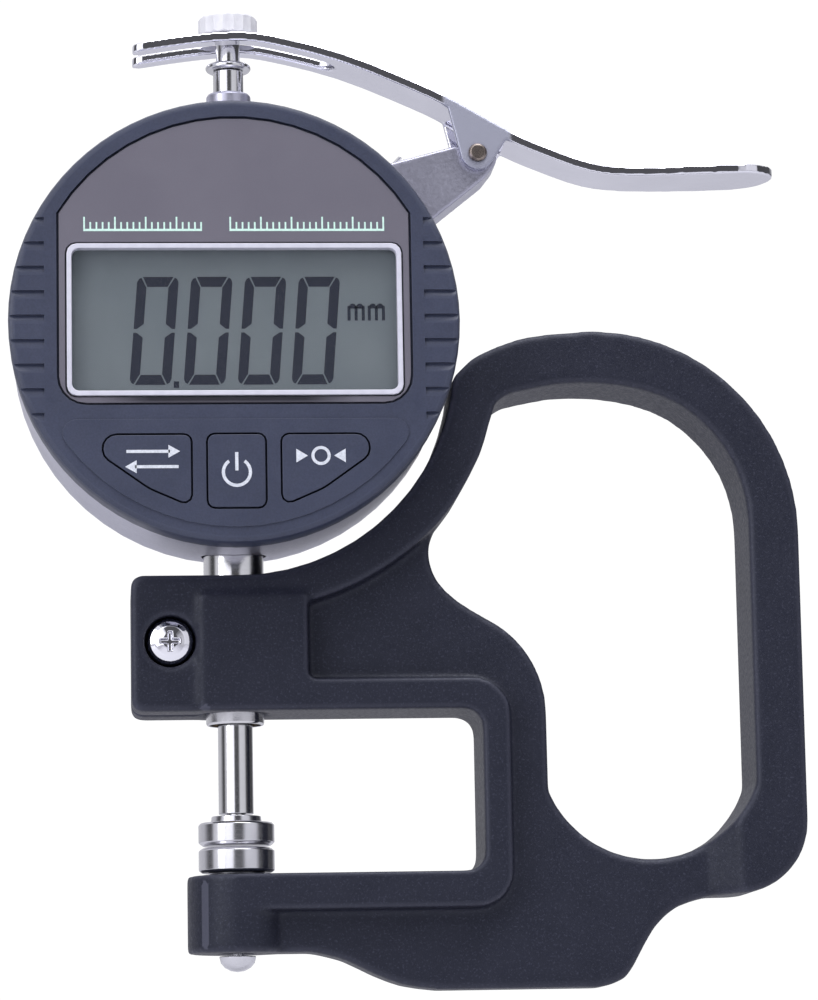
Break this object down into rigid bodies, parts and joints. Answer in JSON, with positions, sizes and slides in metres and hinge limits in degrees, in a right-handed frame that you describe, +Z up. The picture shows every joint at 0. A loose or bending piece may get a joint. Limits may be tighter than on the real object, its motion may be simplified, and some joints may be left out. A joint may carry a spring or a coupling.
{
  "type": "digital thickness gauge",
  "caption": "Hand-held digital thickness gauge: cast C-frame with finger loop, plunger indicator over a flat anvil and a thumb lever that lifts the plunger.",
  "frame": {"origin": "middle of the underside of the whole tool's bounding box", "axes": "+Z up along the plunger, the display faces -Y and the finger loop is towards +X"},
  "size_m": [0.1044, 0.0248, 0.1317],
  "materials": {
    "powder_coat": "fine-grained wrinkle powder coat, semi-matt",
    "chrome": "bright chrome plate",
    "polished_steel": "ground and polished",
    "bush_brass": "turned",
    "case_metal": "satin anodised",
    "navy_plastic": "fine satin moulding",
    "panel_plastic": "satin printed label plate",
    "white_plastic": "satin",
    "window_clear": "clear acrylic",
    "liquid_crystal": "grey-green liquid-crystal glass",
    "circuit_board": "solder mask",
    "black_plastic": "moulded",
    "silicone": "moulded",
    "scale_glass": "etched glass scale"
  },
  "bodies": {
    "root": {"frame": "powder_coat", "clamp_screw": "chrome", "anvil": "polished_steel", "anvil_screw": "chrome", "stem": "polished_steel", "lower_stem_bush": "bush_brass", "upper_stem_bush": "bush_brass", "case_shell": "case_metal", "back_cover": "case_metal", "cover_screw_1": "polished_steel", "cover_screw_2": "polished_steel", "cover_screw_3": "polished_steel", "cover_screw_4": "polished_steel", "top_bush": "case_metal", "sensor_board": "circuit_board", "guide_rod": "polished_steel", "return_spring": "polished_steel", "battery_holder": "black_plastic", "battery_contact": "polished_steel", "battery": "polished_steel", "lever_bracket": "case_metal", "bracket_screw_1": "polished_steel", "bracket_screw_2": "polished_steel", "pivot_pin": "chrome"},
    "display_head": {"bezel": "navy_plastic", "face_panel": "panel_plastic", "window_trim": "white_plastic", "window_lens": "window_clear", "lcd_module": "liquid_crystal", "key_mat": "silicone", "display_board": "circuit_board", "head_plate": "navy_plastic", "hub_clip": "polished_steel"},
    "unit_key": {"unit_key": "navy_plastic"},
    "power_key": {"power_key": "navy_plastic"},
    "zero_key": {"zero_key": "navy_plastic"},
    "plunger": {"spindle": "polished_steel", "contact_point": "polished_steel", "stop_collar": "polished_steel", "lift_knob": "white_plastic", "scale_carriage": "black_plastic", "scale_strip": "scale_glass"},
    "lever": {"lift_lever": "chrome"},
    "battery_cap": {"battery_cap": "black_plastic"}
  },
  "joints": [
    {"name": "plunger_lift", "type": "slide", "parent": "root", "child": "plunger", "axis": [0, 0, 1], "range_m": [0, 0.0127], "stiffness_N_per_m": 50, "springref_m": -0.03, "deforming": ["return_spring"]},
    {"name": "lever_swing", "type": "hinge", "parent": "root", "child": "lever", "pos_m": [0.0105, 0.00485, 0.1117], "axis": [0, 1, 0], "range_deg": [0, 20]},
    {"name": "head_swivel", "type": "hinge", "parent": "root", "child": "display_head", "pos_m": [-0.0228, -0.00755, 0.0865], "axis": [0, 1, 0], "range_deg": [-135, 135]},
    {"name": "unit_key_press", "type": "slide", "parent": "display_head", "child": "unit_key", "axis": [0, 1, 0], "range_m": [0, 0.0003], "stiffness_N_per_m": 2000},
    {"name": "power_key_press", "type": "slide", "parent": "display_head", "child": "power_key", "axis": [0, 1, 0], "range_m": [0, 0.0003], "stiffness_N_per_m": 2000},
    {"name": "zero_key_press", "type": "slide", "parent": "display_head", "child": "zero_key", "axis": [0, 1, 0], "range_m": [0, 0.0003], "stiffness_N_per_m": 2000},
    {"name": "battery_cap_turn", "type": "hinge", "parent": "root", "child": "battery_cap", "pos_m": [-0.0053, 0.01105, 0.0793], "axis": [0, 1, 0], "range_deg": [0, 45]}
  ],
  "couplings": [
    {"joint": "lever_swing", "follows": "plunger_lift", "rad_per_m": 27.48}
  ]
}
